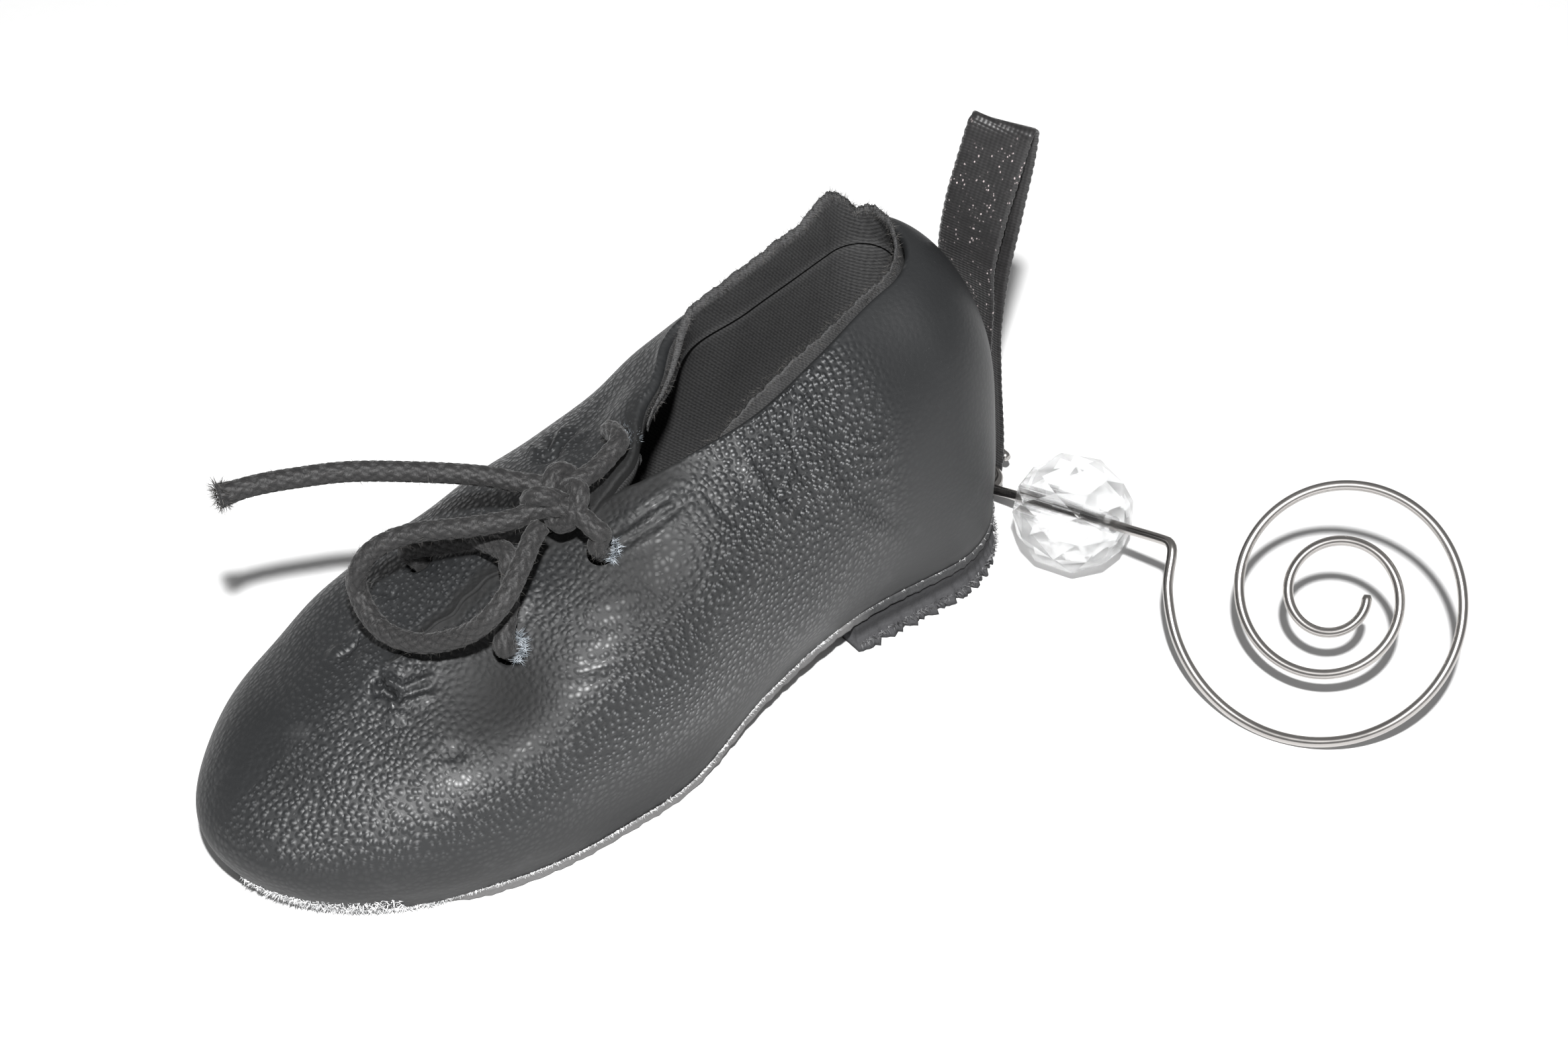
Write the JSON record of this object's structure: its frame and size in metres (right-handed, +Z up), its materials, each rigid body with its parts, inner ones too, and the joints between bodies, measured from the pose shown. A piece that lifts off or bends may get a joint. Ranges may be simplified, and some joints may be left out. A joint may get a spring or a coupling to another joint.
{
  "type": "jazz shoe ornament",
  "caption": "Miniature black leather lace-up jazz shoe on a low suede heel, with a satin hanging loop and a spiral wire hanger threaded through a faceted crystal bead.",
  "frame": {"origin": "on the floor, under the middle of the heel block's flat bottom", "axes": "+Z up, toe towards -X, heel towards +X, the hanger's spiral on the -Y side"},
  "size_m": [0.1075, 0.0713, 0.0447],
  "materials": {
    "black_leather": "soft pebbled leather, half gloss",
    "sole_suede": "grey suede with a pale fuzzy edge",
    "heel_suede": "dark layered suede",
    "insole_board": "dull black",
    "black_lining": "black twill with a fuzzy edge",
    "black_cord": "braided cord",
    "black_satin": "satin ribbon",
    "bright_steel": "bright drawn wire",
    "clear_crystal": "clear, cut facets"
  },
  "bodies": {
    "shoe": {"upper": "black_leather", "outsole": "sole_suede", "heel": "heel_suede", "insole": "insole_board", "collar_lining": "black_lining", "lace_bar_low": "black_cord", "lace_strand_far": "black_cord", "lace_strand_near": "black_cord", "lace_knot": "black_cord", "lace_loop": "black_cord", "lace_end": "black_cord", "ribbon_loop": "black_satin"},
    "hanger": {"hanger_wire": "bright_steel"},
    "bead": {"crystal_bead": "clear_crystal"}
  },
  "joints": [
    {"name": "hanger_swing", "type": "hinge", "parent": "shoe", "child": "hanger", "pos_m": [0.01395, 0.0044, 0.0029], "axis": [-1, 0, 0], "range_deg": [0, 10]},
    {"name": "bead_spin", "type": "hinge", "parent": "hanger", "child": "bead", "pos_m": [0.01275, -0.01537, 0.00607], "axis": [0.1358, -0.9424, 0.3056], "continuous": true}
  ]
}
